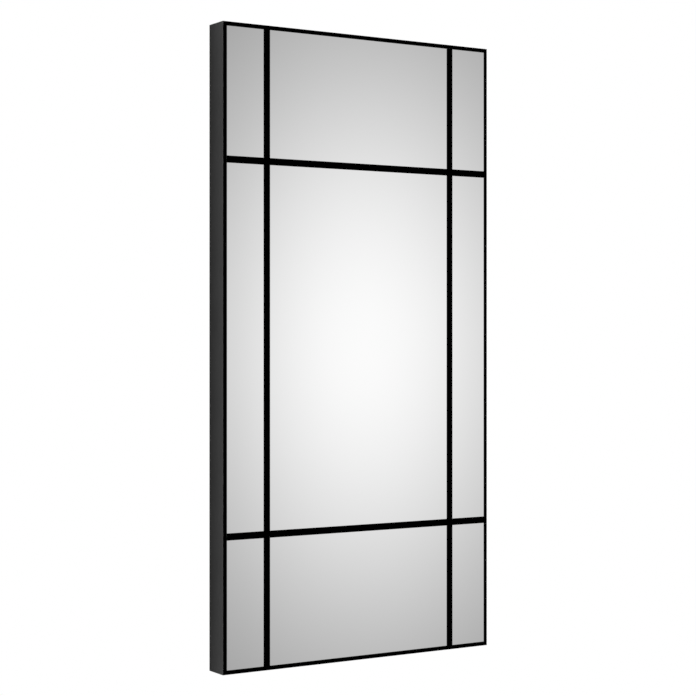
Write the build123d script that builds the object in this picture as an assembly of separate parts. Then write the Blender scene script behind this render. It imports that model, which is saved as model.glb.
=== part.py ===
from build123d import *
import os

# Wall mirror: a deep black box frame, four mitred lengths of one aluminium extrusion, round a sheet of
# mirror glass that lies flush with the frame's front and carries a grid of thin flat bars. The glass
# is taped to a board, which leaf springs press against the back of the frame's hollow front lip.
# Millimetres, +Z up. The mirror looks along -Y and hangs on a wall whose face is the plane y = 0.
# The origin lies in that plane, midway between the round entries of the two keyhole hangers.

# Overall size of the frame
WIDTH = 600.0
HEIGHT = 1200.0
DEPTH = 54.0

# Extruded section: u runs inwards from the outer face, v runs back from the front face
FRAME_WALL = 1.6
FRONT_LIP_WIDTH = 7.2
FRONT_LIP_WALL = 1.2
EDGE_RADIUS = 0.4
RIB_THICKNESS = 1.4
RIB_REACH = 10.0
CHANNEL_WALL = 1.4
CHANNEL_WIDTH = 17.4
CHANNEL_HEIGHT = 8.2
CHANNEL_SLOT = 10.2
CHANNEL_RECESS = 1.0

# Mirror glass, flush with the frame's front
GLASS_THICKNESS = 4.0
GLASS_GAP = 0.4
GLASS_ARRIS = 0.5

# Board behind the glass and the tape that joins them
MIRROR_TAPE_THICKNESS = 1.0
MIRROR_TAPE_WIDTH = 25.0
MIRROR_TAPE_STRIPS = 5
MIRROR_TAPE_SETBACK = 30.0
BOARD_THICKNESS = 3.0
BOARD_EDGE_GAP = 2.0
LIP_GASKET_THICKNESS = 0.5
LIP_GASKET_SETBACK = 0.6

# Flat bars on the glass
BAR_WIDTH = 13.0
BAR_THICKNESS = 0.8
BAR_EDGE_CHAMFER = 0.2
BAR_FROM_SIDE = 92.0
BAR_FROM_END = 253.0
BAR_END_SETBACK = 0.2
BAR_BUTT_GAP = 0.15
BAR_TAPE_THICKNESS = 0.2
BAR_TAPE_SETBACK = 0.5

# Spacer blocks between the board's edge and the frame
BLOCK_LENGTH = 40.0
BLOCK_FROM_CORNER = 120.0
BLOCK_FACE_GAP = 0.3

# Leaf springs that press the board against the lip
CLIP_SPACE = 4.5
CLIP_THICKNESS = 0.5
CLIP_WIDTH = 14.0
CLIP_LENGTH = 60.0
CLIP_FOOT = 8.0
CLIP_PAD = 10.0
CLIP_BEND_RADIUS = 12.0
CLIP_FROM_WALL = 0.6
CLIPS_ON_LONG_SIDE = 3
CLIPS_ON_SHORT_SIDE = 2

# Corner joints
ALIGNER_THICKNESS = 2.6
ALIGNER_WIDTH = 8.0
ALIGNER_LEG = 40.0
ALIGNER_PLAY = 0.3
CORNER_PLATE_THICKNESS = 3.0
CORNER_PLATE_LEG = 50.0
CORNER_PLATE_PLAY = 0.3
GRUB_SCREW_DIAMETER = 5.0
GRUB_SCREW_SOCKET = 2.5
GRUB_SCREW_FIRST = 24.0
GRUB_SCREW_PITCH = 17.0
SOCKET_DEPTH = 2.0
THREAD_CLEARANCE = 0.05

# Keyhole hangers that slide in the top rail's channel
HANGER_SPACING = 360.0
HANGER_THICKNESS = 2.5
HANGER_WIDTH = 40.0
HANGER_EDGE_GAP = 0.8
HANGER_SHOULDER_CHAMFER = 2.0
HANGER_TIP_RADIUS = 12.0
KEYHOLE_ENTRY = 11.0
KEYHOLE_SLOT = 5.5
KEYHOLE_DROP = 13.0
KEYHOLE_HEAD_ROOM = 8.6
KEYHOLE_MARGIN = 10.5
NUT_BAR_THICKNESS = 3.0
NUT_BAR_WIDTH = 14.0
NUT_BAR_LENGTH = 40.0
HANGER_SCREW_DIAMETER = 4.0
HANGER_SCREW_HEAD = 7.5
HANGER_SCREW_PITCH = 24.0
HANGER_SCREW_PROJECTION = 1.5
HANGER_SCREW_SOCKET = 2.5
SCREW_HEAD_SINK = 0.15
SCREW_HEAD_CLEARANCE = 0.1

# Pads that keep the lower corners off the wall
WALL_PAD_LENGTH = 60.0
WALL_PAD_RADIUS = 3.0
WALL_PAD_FROM_SIDE = 60.0

# Stations through the depth, measured back from the front face
BOARD_FRONT = GLASS_THICKNESS + MIRROR_TAPE_THICKNESS
BOARD_BACK = BOARD_FRONT + BOARD_THICKNESS
FRONT_LIP_BACK = BOARD_FRONT - LIP_GASKET_THICKNESS
CLIP_RIB_FRONT = BOARD_BACK + CLIP_SPACE
CLIP_RIB_BACK = CLIP_RIB_FRONT + RIB_THICKNESS
ALIGNER_RIB_FRONT = CLIP_RIB_BACK + ALIGNER_THICKNESS + ALIGNER_PLAY
ALIGNER_RIB_BACK = ALIGNER_RIB_FRONT + RIB_THICKNESS
CHANNEL_BACK = DEPTH - CHANNEL_RECESS
CHANNEL_LIP_FRONT = CHANNEL_BACK - CHANNEL_WALL
CHANNEL_FLOOR_BACK = CHANNEL_LIP_FRONT - CHANNEL_HEIGHT
CHANNEL_FLOOR_FRONT = CHANNEL_FLOOR_BACK - CHANNEL_WALL
BAR_BACK = -BAR_TAPE_THICKNESS
BAR_FRONT = BAR_BACK - BAR_THICKNESS

# Stations across the section, measured inwards from the outer face
CHANNEL_INNER = FRAME_WALL + CHANNEL_WIDTH
CHANNEL_OUTER = CHANNEL_INNER + CHANNEL_WALL
SLOT_CENTRE = FRAME_WALL + CHANNEL_WIDTH / 2
SLOT_NEAR = SLOT_CENTRE - CHANNEL_SLOT / 2
SLOT_FAR = SLOT_CENTRE + CHANNEL_SLOT / 2
GLASS_EDGE = FRONT_LIP_WIDTH + GLASS_GAP
BOARD_EDGE = FRAME_WALL + BOARD_EDGE_GAP
BAR_END = GLASS_EDGE + BAR_END_SETBACK

# Places in the mirror's own frame
FRONT_Y = -(CHANNEL_BACK + HANGER_THICKNESS)
TOP_Z = CHANNEL_OUTER + KEYHOLE_HEAD_ROOM + KEYHOLE_DROP
BOTTOM_Z = TOP_Z - HEIGHT
MIDDLE_Z = TOP_Z - HEIGHT / 2

# Centre lines of the bars
UPRIGHTS = {"left": BAR_FROM_SIDE - WIDTH / 2, "right": WIDTH / 2 - BAR_FROM_SIDE}
LEVELS = {"top": TOP_Z - BAR_FROM_END, "bottom": BOTTOM_Z + BAR_FROM_END}

# Each side's local axes: x runs inwards (u), y runs back (v), z runs along the side
SIDES = {
    "top": (Plane((0, FRONT_Y, TOP_Z), x_dir=(0, 0, -1), z_dir=(1, 0, 0)), WIDTH),
    "bottom": (Plane((0, FRONT_Y, BOTTOM_Z), x_dir=(0, 0, 1), z_dir=(-1, 0, 0)), WIDTH),
    "left": (Plane((-WIDTH / 2, FRONT_Y, MIDDLE_Z), x_dir=(1, 0, 0), z_dir=(0, 0, 1)), HEIGHT),
    "right": (Plane((WIDTH / 2, FRONT_Y, MIDDLE_Z), x_dir=(-1, 0, 0), z_dir=(0, 0, -1)), HEIGHT),
}

# Each corner's outer front point and its quarter turns about Y from the top left corner
CORNERS = {
    "top_left": (-WIDTH / 2, TOP_Z, 0),
    "top_right": (WIDTH / 2, TOP_Z, 1),
    "bottom_right": (WIDTH / 2, BOTTOM_Z, 2),
    "bottom_left": (-WIDTH / 2, BOTTOM_Z, 3),
}


def block(low, high):
    """A rectangular solid between two opposite corners."""
    size = [b - a for a, b in zip(low, high)]
    return Pos(*low) * Box(*size, align=(Align.MIN, Align.MIN, Align.MIN))


def drawn_from_front(sketch, front, back):
    """A sketch in x and z made solid between two stations of the depth."""
    return Pos(0, FRONT_Y + front, 0) * extrude(Plane.XZ * sketch, amount=back - front, dir=(0, 1, 0))


def at_corner(name, shape):
    """A shape drawn for the top left corner, its point at the origin, put in a named corner."""
    x, z, turns = CORNERS[name]
    return Pos(x, FRONT_Y, z) * Rot(0, 90 * turns, 0) * shape


def frame_section():
    """The extrusion's section: hollow front lip, two ribs and a slotted channel on one outer wall."""
    outline = Polyline(
        (0, 0),
        (FRONT_LIP_WIDTH, 0),
        (FRONT_LIP_WIDTH, FRONT_LIP_BACK),
        (FRAME_WALL, FRONT_LIP_BACK),
        (FRAME_WALL, CLIP_RIB_FRONT),
        (RIB_REACH, CLIP_RIB_FRONT),
        (RIB_REACH, CLIP_RIB_BACK),
        (FRAME_WALL, CLIP_RIB_BACK),
        (FRAME_WALL, ALIGNER_RIB_FRONT),
        (RIB_REACH, ALIGNER_RIB_FRONT),
        (RIB_REACH, ALIGNER_RIB_BACK),
        (FRAME_WALL, ALIGNER_RIB_BACK),
        (FRAME_WALL, CHANNEL_FLOOR_FRONT),
        (CHANNEL_OUTER, CHANNEL_FLOOR_FRONT),
        (CHANNEL_OUTER, CHANNEL_BACK),
        (SLOT_FAR, CHANNEL_BACK),
        (SLOT_FAR, CHANNEL_LIP_FRONT),
        (CHANNEL_INNER, CHANNEL_LIP_FRONT),
        (CHANNEL_INNER, CHANNEL_FLOOR_BACK),
        (FRAME_WALL, CHANNEL_FLOOR_BACK),
        (FRAME_WALL, CHANNEL_LIP_FRONT),
        (SLOT_NEAR, CHANNEL_LIP_FRONT),
        (SLOT_NEAR, CHANNEL_BACK),
        (FRAME_WALL, CHANNEL_BACK),
        (FRAME_WALL, DEPTH),
        (0, DEPTH),
        close=True,
    )
    section = make_face(outline)
    seen_corners = [(0, 0), (FRONT_LIP_WIDTH, 0), (0, DEPTH)]
    rounded = [section.vertices().sort_by_distance(corner)[0] for corner in seen_corners]
    chamber = Polyline(
        (FRAME_WALL, FRONT_LIP_WALL),
        (FRONT_LIP_WIDTH - FRONT_LIP_WALL, FRONT_LIP_WALL),
        (FRONT_LIP_WIDTH - FRONT_LIP_WALL, FRONT_LIP_BACK - FRONT_LIP_WALL),
        (FRAME_WALL, FRONT_LIP_BACK - FRONT_LIP_WALL),
        close=True,
    )
    return fillet(rounded, min(EDGE_RADIUS, 0.45 * FRAME_WALL)) - make_face(chamber)


def frame_length(side):
    """One side of the frame, cut at 45 degrees at both ends."""
    plane, length = SIDES[side]
    half = length / 2
    plan = make_face(
        Polyline(
            (0, -half),
            (CHANNEL_OUTER, CHANNEL_OUTER - half),
            (CHANNEL_OUTER, half - CHANNEL_OUTER),
            (0, half),
            close=True,
        )
    )
    mitred = extrude(Plane.XZ * plan, amount=DEPTH, dir=(0, 1, 0))
    return plane * (extrude(frame_section(), amount=half, both=True) & mitred)


def sheet(edge, front, back):
    """A flat sheet, its edges a distance inside the frame's outer faces, between two stations."""
    outline = Rectangle(WIDTH - 2 * edge, HEIGHT - 2 * edge)
    return drawn_from_front(Pos(0, MIDDLE_Z) * outline, front, back)


def mirror_glass():
    """The sheet of mirror, with its sharp edges taken off front and back."""
    glass = sheet(GLASS_EDGE, 0, GLASS_THICKNESS)
    faces = glass.faces().filter_by(Axis.Y)
    return chamfer(faces.edges(), min(GLASS_ARRIS, 0.4 * GLASS_THICKNESS))


def mirror_tape():
    """Upright strips of mounting tape between the glass and the board, evenly spread."""
    half_length = HEIGHT / 2 - GLASS_EDGE - MIRROR_TAPE_SETBACK
    reach = WIDTH / 2 - GLASS_EDGE - MIRROR_TAPE_SETBACK - MIRROR_TAPE_WIDTH / 2
    strips = []
    for i in range(MIRROR_TAPE_STRIPS):
        x = reach * (2 * i / (MIRROR_TAPE_STRIPS - 1) - 1)
        strip = Pos(x, MIDDLE_Z) * Rectangle(MIRROR_TAPE_WIDTH, 2 * half_length)
        strips.append(drawn_from_front(strip, GLASS_THICKNESS, BOARD_FRONT))
    return strips


def lip_gasket():
    """Four strips of foam between the front lip and the board."""
    near, far = BOARD_EDGE, FRONT_LIP_WIDTH - LIP_GASKET_SETBACK
    strips = []
    for side, corner in {"top": near, "bottom": near, "left": far, "right": far}.items():
        plane, length = SIDES[side]
        half = length / 2 - corner
        strips.append(plane * block((near, FRONT_LIP_BACK, -half), (far, BOARD_FRONT, half)))
    return strips


def flat_bar(length):
    """A length of flat bar along z, its front edges broken, standing on its tape's front face."""
    section = Pos(0, (BAR_FRONT + BAR_BACK) / 2) * Rectangle(BAR_WIDTH, BAR_THICKNESS)
    front_corners = section.vertices().group_by(Axis.Y)[0]
    section = chamfer(front_corners, min(BAR_EDGE_CHAMFER, 0.4 * BAR_THICKNESS))
    return Pos(0, FRONT_Y, 0) * extrude(section, amount=length / 2, both=True)


def bar_tape(length):
    """The tape behind a length of flat bar, a little smaller than the bar all round."""
    outline = Rectangle(BAR_WIDTH - 2 * BAR_TAPE_SETBACK, length - 2 * BAR_TAPE_SETBACK)
    return drawn_from_front(outline, BAR_BACK, 0)


def upright(x, strip):
    """A bar or tape that runs the height of the glass, centred on x."""
    return Pos(x, 0, MIDDLE_Z) * strip(HEIGHT - 2 * BAR_END)


def level_runs():
    """The three stretches of a level bar, between the frame and the uprights it butts against."""
    beside = BAR_WIDTH / 2 + BAR_BUTT_GAP
    end = WIDTH / 2 - BAR_END
    left, right = UPRIGHTS["left"], UPRIGHTS["right"]
    return {
        "left": (-end, left - beside),
        "middle": (left + beside, right - beside),
        "right": (right + beside, end),
    }


def level(z, run, strip):
    """A bar or tape that runs level at a height, from one end of a stretch to the other."""
    start, finish = run
    return Pos((start + finish) / 2, 0, z) * Rot(0, 90, 0) * strip(finish - start)


def setting_blocks():
    """Two spacer blocks on each side that hold the board off the frame."""
    blocks = []
    for plane, length in SIDES.values():
        for way in (-1, 1):
            middle = way * (length / 2 - BLOCK_FROM_CORNER)
            low = (FRAME_WALL, BOARD_FRONT + BLOCK_FACE_GAP, middle - BLOCK_LENGTH / 2)
            high = (BOARD_EDGE, BOARD_BACK - BLOCK_FACE_GAP, middle + BLOCK_LENGTH / 2)
            blocks.append(plane * block(low, high))
    return blocks


def leaf_spring():
    """A strip of spring steel bowed between the clip rib and the board."""
    foot = CLIP_RIB_FRONT - CLIP_THICKNESS / 2
    pad = BOARD_BACK + CLIP_THICKNESS / 2
    end = CLIP_LENGTH / 2
    line = FilletPolyline(
        (foot, -end),
        (foot, CLIP_FOOT - end),
        (pad, -CLIP_PAD / 2),
        (pad, CLIP_PAD / 2),
        (foot, end - CLIP_FOOT),
        (foot, end),
        radius=CLIP_BEND_RADIUS,
    )
    strip = Plane.YZ * trace(line, line_width=CLIP_THICKNESS)
    return Pos(FRAME_WALL + CLIP_FROM_WALL, 0, 0) * extrude(strip, amount=CLIP_WIDTH, dir=(1, 0, 0))


def spring_clips(side, count):
    """A row of leaf springs, evenly spread along one side."""
    plane, length = SIDES[side]
    pitch = length / count
    clip = leaf_spring()
    return [plane * (Pos(0, 0, pitch * (i - (count - 1) / 2)) * clip) for i in range(count)]


def elbow(near, far, leg):
    """An L-shaped outline for the top left corner, in x and z."""
    return make_face(
        Polyline((near, -near), (leg, -near), (leg, -far), (far, -far), (far, -leg), (near, -leg), close=True)
    )


def corner_elbow(near, far, leg, front, back):
    """An L-shaped plate for the top left corner, between two stations of the depth."""
    plate = extrude(Plane.XZ * elbow(near, far, leg), amount=back - front, dir=(0, 1, 0))
    return Pos(0, front, 0) * plate


def corner_aligner():
    """The plain angle that keeps the front of a mitre shut, in the groove between the ribs."""
    near = FRAME_WALL + ALIGNER_PLAY
    front = CLIP_RIB_BACK
    return corner_elbow(near, near + ALIGNER_WIDTH, ALIGNER_LEG, front, front + ALIGNER_THICKNESS)


def grub_screw_places():
    """Where the four screws of the top left corner plate stand, in x and z."""
    along = [GRUB_SCREW_FIRST, GRUB_SCREW_FIRST + GRUB_SCREW_PITCH]
    return [(a, -SLOT_CENTRE) for a in along] + [(SLOT_CENTRE, -a) for a in along]


def corner_plate():
    """The threaded angle in the rear channel, held up against the channel's lips."""
    near = FRAME_WALL + CORNER_PLATE_PLAY
    far = CHANNEL_INNER - CORNER_PLATE_PLAY
    front = CHANNEL_LIP_FRONT - CORNER_PLATE_THICKNESS
    plate = corner_elbow(near, far, near + CORNER_PLATE_LEG, front, CHANNEL_LIP_FRONT)
    bore = Rot(-90, 0, 0) * Cylinder(GRUB_SCREW_DIAMETER / 2, 2 * DEPTH)
    for x, z in grub_screw_places():
        plate -= Pos(x, 0, z) * bore
    return plate


def hex_socket(across_flats, depth):
    """The hexagon recess in a screw's end, sunk from z = 0."""
    return extrude(RegularPolygon(across_flats / 2, 6, major_radius=False), amount=-depth)


def grub_screw():
    """A socket grub screw, from the channel's floor to just inside its lips."""
    length = CHANNEL_HEIGHT - THREAD_CLEARANCE
    radius = GRUB_SCREW_DIAMETER / 2 - THREAD_CLEARANCE
    shank = Cylinder(radius, length, align=(Align.CENTER, Align.CENTER, Align.MAX))
    screw = shank - hex_socket(GRUB_SCREW_SOCKET, SOCKET_DEPTH)
    return Pos(0, CHANNEL_FLOOR_BACK + length, 0) * Rot(-90, 0, 0) * screw


def countersunk(sink, clearance):
    """A countersunk screw's space, its head's top a depth below z = 0, opened out by a clearance."""
    head = HANGER_SCREW_HEAD / 2 + clearance + sink
    shank = HANGER_SCREW_DIAMETER / 2 + clearance
    length = HANGER_THICKNESS + CHANNEL_WALL + NUT_BAR_THICKNESS + HANGER_SCREW_PROJECTION
    half = Polyline((0, 0), (head, 0), (shank, shank - head), (shank, -length), (0, -length), close=True)
    return revolve(Plane.XZ * make_face(half), Axis.Z)


def hanger_screw_places():
    """Where the two screws of a hanger stand, in x and z from its keyhole's entry."""
    return [(way * HANGER_SCREW_PITCH / 2, TOP_Z - SLOT_CENTRE) for way in (-1, 1)]


def hanger_plate():
    """The plate that lies on the channel's lips, with a keyhole below them."""
    top = TOP_Z - FRAME_WALL - HANGER_EDGE_GAP
    bottom = -(KEYHOLE_ENTRY / 2 + KEYHOLE_MARGIN)
    outline = Pos(0, (top + bottom) / 2) * Rectangle(HANGER_WIDTH, top - bottom)
    ends = outline.vertices().group_by(Axis.Y)
    outline = fillet(ends[0], HANGER_TIP_RADIUS)
    outline = chamfer(outline.vertices().group_by(Axis.Y)[-1], HANGER_SHOULDER_CHAMFER)
    outline -= Circle(KEYHOLE_ENTRY / 2)
    outline -= Pos(0, KEYHOLE_DROP / 2) * Rectangle(KEYHOLE_SLOT, KEYHOLE_DROP)
    outline -= Pos(0, KEYHOLE_DROP) * Circle(KEYHOLE_SLOT / 2)
    plate = extrude(Plane.XZ * outline, amount=HANGER_THICKNESS)
    hole = Rot(-90, 0, 0) * countersunk(SCREW_HEAD_SINK, SCREW_HEAD_CLEARANCE)
    for x, z in hanger_screw_places():
        plate -= Pos(x, 0, z) * hole
    return plate


def hanger_nut_bar():
    """The threaded bar that clamps the channel's lips from inside."""
    outline = Rectangle(NUT_BAR_LENGTH, NUT_BAR_WIDTH)
    for way in (-1, 1):
        radius = HANGER_SCREW_DIAMETER / 2 + THREAD_CLEARANCE
        outline -= Pos(way * HANGER_SCREW_PITCH / 2, 0) * Circle(radius)
    front = CHANNEL_LIP_FRONT - NUT_BAR_THICKNESS
    return drawn_from_front(Pos(0, TOP_Z - SLOT_CENTRE) * outline, front, CHANNEL_LIP_FRONT)


def hanger_screws():
    """The two countersunk screws that draw plate and nut bar together."""
    screws = []
    for x, z in hanger_screw_places():
        screw = countersunk(0, 0) - hex_socket(HANGER_SCREW_SOCKET, SOCKET_DEPTH)
        screws.append(Pos(x, -SCREW_HEAD_SINK, z) * Rot(-90, 0, 0) * screw)
    return screws


def wall_pad(way):
    """A soft pad across the bottom rail's channel, level with the hangers' backs."""
    low, high = FRAME_WALL + HANGER_EDGE_GAP, CHANNEL_OUTER
    outline = RectangleRounded(WALL_PAD_LENGTH, high - low, WALL_PAD_RADIUS)
    x = way * (WIDTH / 2 - WALL_PAD_FROM_SIDE)
    return drawn_from_front(
        Pos(x, BOTTOM_Z + (low + high) / 2) * outline, CHANNEL_BACK, CHANNEL_BACK + HANGER_THICKNESS
    )


def mirror_nodes():
    """Every piece of the mirror, by node name."""
    nodes = {
        "top_rail": [frame_length("top")],
        "bottom_rail": [frame_length("bottom")],
        "left_stile": [frame_length("left")],
        "right_stile": [frame_length("right")],
        "mirror_glass": [mirror_glass()],
        "mirror_tape": mirror_tape(),
        "back_board": [sheet(BOARD_EDGE, BOARD_FRONT, BOARD_BACK)],
        "lip_gasket": lip_gasket(),
        "setting_blocks": setting_blocks(),
        "corner_grub_screws": [],
    }
    for side, x in UPRIGHTS.items():
        nodes[f"vertical_bar_{side}"] = [upright(x, flat_bar)]
        nodes[f"vertical_bar_tape_{side}"] = [upright(x, bar_tape)]
    for height, z in LEVELS.items():
        nodes[f"horizontal_bar_tape_{height}"] = [level(z, run, bar_tape) for run in level_runs().values()]
        for place, run in level_runs().items():
            nodes[f"horizontal_bar_{height}_{place}"] = [level(z, run, flat_bar)]
    for side in ("left", "right"):
        nodes[f"spring_clips_{side}"] = spring_clips(side, CLIPS_ON_LONG_SIDE)
    for side in ("top", "bottom"):
        nodes[f"spring_clips_{side}"] = spring_clips(side, CLIPS_ON_SHORT_SIDE)
    for corner in CORNERS:
        nodes[f"corner_plate_{corner}"] = [at_corner(corner, corner_plate())]
        nodes[f"corner_aligner_{corner}"] = [at_corner(corner, corner_aligner())]
        for x, z in grub_screw_places():
            nodes["corner_grub_screws"].append(at_corner(corner, Pos(x, 0, z) * grub_screw()))
    for side, way in (("left", -1), ("right", 1)):
        place = Pos(way * HANGER_SPACING / 2, 0, 0)
        nodes[f"hanger_plate_{side}"] = [place * hanger_plate()]
        nodes[f"hanger_nut_bar_{side}"] = [place * hanger_nut_bar()]
        nodes[f"hanger_screws_{side}"] = [place * screw for screw in hanger_screws()]
        nodes[f"wall_pad_{side}"] = [wall_pad(way)]
    return nodes


os.makedirs("parts", exist_ok=True)
for name, pieces in mirror_nodes().items():
    solids = [solid for piece in pieces for solid in piece.solids()]
    export_step(solids[0] if len(solids) == 1 else Compound(solids), f"parts/{name}.step")
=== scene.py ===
"""Looks of a wall mirror with a black box frame and a grid of black bars on its glass."""

import logging
import math
from dataclasses import dataclass
from enum import Enum

import bpy
from mathutils import Matrix, Vector


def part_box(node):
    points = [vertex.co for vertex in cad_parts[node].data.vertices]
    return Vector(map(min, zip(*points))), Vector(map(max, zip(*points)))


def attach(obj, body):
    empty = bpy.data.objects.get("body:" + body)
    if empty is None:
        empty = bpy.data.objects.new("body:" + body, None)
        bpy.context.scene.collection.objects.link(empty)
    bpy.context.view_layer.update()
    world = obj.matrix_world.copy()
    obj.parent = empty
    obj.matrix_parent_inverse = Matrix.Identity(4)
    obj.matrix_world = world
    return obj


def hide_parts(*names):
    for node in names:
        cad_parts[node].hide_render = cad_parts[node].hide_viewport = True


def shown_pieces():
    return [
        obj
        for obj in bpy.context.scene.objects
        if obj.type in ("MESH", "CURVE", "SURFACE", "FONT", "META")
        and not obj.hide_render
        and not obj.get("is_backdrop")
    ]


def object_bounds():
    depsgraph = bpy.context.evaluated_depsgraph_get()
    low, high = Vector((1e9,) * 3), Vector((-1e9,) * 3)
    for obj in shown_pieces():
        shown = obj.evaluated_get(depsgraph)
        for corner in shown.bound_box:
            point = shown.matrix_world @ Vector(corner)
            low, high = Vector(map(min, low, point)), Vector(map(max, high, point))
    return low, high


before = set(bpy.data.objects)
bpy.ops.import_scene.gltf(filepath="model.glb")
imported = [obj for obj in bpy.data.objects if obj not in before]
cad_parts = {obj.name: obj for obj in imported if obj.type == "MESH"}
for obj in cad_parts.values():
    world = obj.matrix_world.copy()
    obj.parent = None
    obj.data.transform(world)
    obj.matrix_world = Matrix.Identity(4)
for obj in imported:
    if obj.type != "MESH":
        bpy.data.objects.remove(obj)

CAD_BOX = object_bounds()
LOG = logging.getLogger("wall_mirror")
MM = 0.001
IMAGE_SIDE = 696.0
SENSOR_WIDTH = 36.0
FRAME_LENGTHS = ("top_rail", "bottom_rail", "left_stile", "right_stile")
WHITE = "FFFFFF"

# The part of a noise pattern's range where nearly all of its values lie
NOISE_LOW, NOISE_HIGH = 0.3, 0.7
# What makes a mixing node mix colours, and which of its outputs is the colour
MIX_COLOURS = {"data_type": "RGBA"}
MIXED_COLOUR = 2
# Arithmetic that several patterns share
MULTIPLY = {"operation": "MULTIPLY"}
ADD = {"operation": "ADD"}
SUBTRACT = {"operation": "SUBTRACT"}
# Least share of its normal along y that makes a surface a front or a back
SQUARE_ON = 0.9
# Where one turn of a thread leaves its groove, reaches its crest and leaves it, in pitches
GROOVE_END, CREST_START, CREST_END = 0.1, 0.5, 0.65
# Creases softer than this stay smooth on a turned piece
SMOOTH_BELOW_DEG = 30.0
# How near two loose CAD corners lie to be one, and two bevelled ones
WELD_MM = 0.002
SEAM_MM = 0.003
# Triangles that turn by less than this are one flat, and edges sharper than this are softened
FLAT_DEG = 0.5
SHARP_DEG = 40.0

Socket = bpy.types.NodeSocket
Tree = bpy.types.NodeTree
Piece = bpy.types.Object
Rgba = tuple[float, float, float, float]
Triple = tuple[float, float, float]
Span = tuple[float, float]


class Side(Enum):
    """A side of the frame, with the way from the middle of the mirror to it in x and z."""

    LEFT = (-1, 0)
    RIGHT = (1, 0)
    TOP = (0, 1)
    BOTTOM = (0, -1)


class Facing(Enum):
    """Which way a surface looks, as the sign of its normal along y."""

    FRONT = -1
    BACK = 1


def linear(hex_colour: str) -> Rgba:
    """Turn an sRGB colour into linear light.

    Args:
        hex_colour: Six hex digits, red first.

    Returns:
        Linear red, green and blue, with an alpha of 1.
    """
    channels = [int(hex_colour[i : i + 2], 16) / 255 for i in (0, 2, 4)]
    light = [c / 12.92 if c <= 0.04045 else ((c + 0.055) / 1.055) ** 2.4 for c in channels]
    return (light[0], light[1], light[2], 1.0)


def per_size(millimetres: float) -> float:
    """Give the pattern scale, in repeats a metre, of a detail of this size."""
    return 1.0 / (millimetres * MM)


def add_node(
    tree: Tree,
    kind: str,
    inputs: dict[str | int, object] | None = None,
    settings: dict[str, object] | None = None,
    output: str | int = 0,
) -> Socket | None:
    """Add a shader node, set it up and give back one of its outputs.

    Args:
        tree: Node tree that the node goes into.
        kind: The node's type, without its ShaderNode prefix.
        inputs: A value, or a socket to link, by the input's name or place.
        settings: The node's own properties.
        output: Which output to give back.

    Returns:
        The chosen output, or None for a node that has no outputs.
    """
    made = tree.nodes.new("ShaderNode" + kind)
    for name, value in (settings or {}).items():
        setattr(made, name, value)
    for name, value in (inputs or {}).items():
        if isinstance(value, Socket):
            tree.links.new(value, made.inputs[name])
        else:
            made.inputs[name].default_value = value
    return made.outputs[output] if len(made.outputs) else None


def bare_material(name: str) -> bpy.types.Material:
    """Make a material whose node tree is empty.

    Args:
        name: What the material is called.

    Returns:
        The material.
    """
    made = bpy.data.materials.new(name)
    made.use_nodes = True
    made.node_tree.nodes.clear()
    return made


def hide_from(piece: Piece, *rays: str) -> None:
    """Make a piece invisible to some kinds of ray, such as shadow or camera.

    Args:
        piece: What is hidden.
        rays: Kinds of ray, as in the names of Blender's visibility settings.
    """
    for kind in rays:
        setattr(piece, f"visible_{kind}", False)


@dataclass(frozen=True)
class Finish:
    """A surface finish, made once as a procedural material and shared."""

    name: str

    def surface(self, tree: Tree) -> Socket:
        """Build the finish's shader and give back its output."""
        raise NotImplementedError

    def material(self) -> bpy.types.Material:
        """Give the finish's material, made the first time it is asked for.

        Returns:
            The material.
        """
        made = bpy.data.materials.get(self.name)
        if made is None:
            made = bare_material(self.name)
            shader = self.surface(made.node_tree)
            add_node(made.node_tree, "OutputMaterial", {"Surface": shader})
        return made

    def put_on(self, *pieces: Piece) -> None:
        """Make this the only material of each piece.

        Args:
            pieces: What is given the finish.
        """
        for piece in pieces:
            piece.data.materials.clear()
            piece.data.materials.append(self.material())


def here(tree: Tree, stretch: Triple = (1.0, 1.0, 1.0)) -> Socket:
    """Give the place on the piece in metres, each axis multiplied by its stretch.

    Args:
        tree: Node tree that reads it.
        stretch: Factors for x, y and z, below 1 for a pattern drawn out along that axis.

    Returns:
        The place's socket.
    """
    place = add_node(tree, "TexCoord", output="Object")
    if stretch == (1.0, 1.0, 1.0):
        return place
    return add_node(tree, "Mapping", {"Vector": place, "Scale": stretch})


def two_tones(tree: Tree, pattern: Socket, dark: str, light: str) -> Socket:
    """Colour a cloudy pattern from one tone to another.

    Args:
        tree: Node tree that the colour goes into.
        pattern: A noise pattern.
        dark: sRGB colour where the pattern is low.
        light: sRGB colour where it is high.

    Returns:
        The colour's socket.
    """
    share = add_node(tree, "MapRange", {0: pattern, 1: NOISE_LOW, 2: NOISE_HIGH})
    tones = {0: share, 6: linear(dark), 7: linear(light)}
    return add_node(tree, "Mix", tones, MIX_COLOURS, output=MIXED_COLOUR)


def flecked(
    tree: Tree, ground: Socket, pattern: Socket, limits: Span, share: float, fleck: str
) -> Socket:
    """Strew flecks of another colour over a ground.

    Args:
        tree: Node tree that the colour goes into.
        ground: The colour under the flecks.
        pattern: A noise pattern, whose peaks are the flecks.
        limits: Where a peak starts to show, and where it shows most.
        share: How much of the fleck's colour the highest peaks have.
        fleck: sRGB colour of the flecks.

    Returns:
        The colour's socket.
    """
    amount = {0: pattern, 1: limits[0], 2: limits[1], 3: 0.0, 4: share}
    tones = {0: add_node(tree, "MapRange", amount), 6: ground, 7: linear(fleck)}
    return add_node(tree, "Mix", tones, MIX_COLOURS, output=MIXED_COLOUR)


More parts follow.
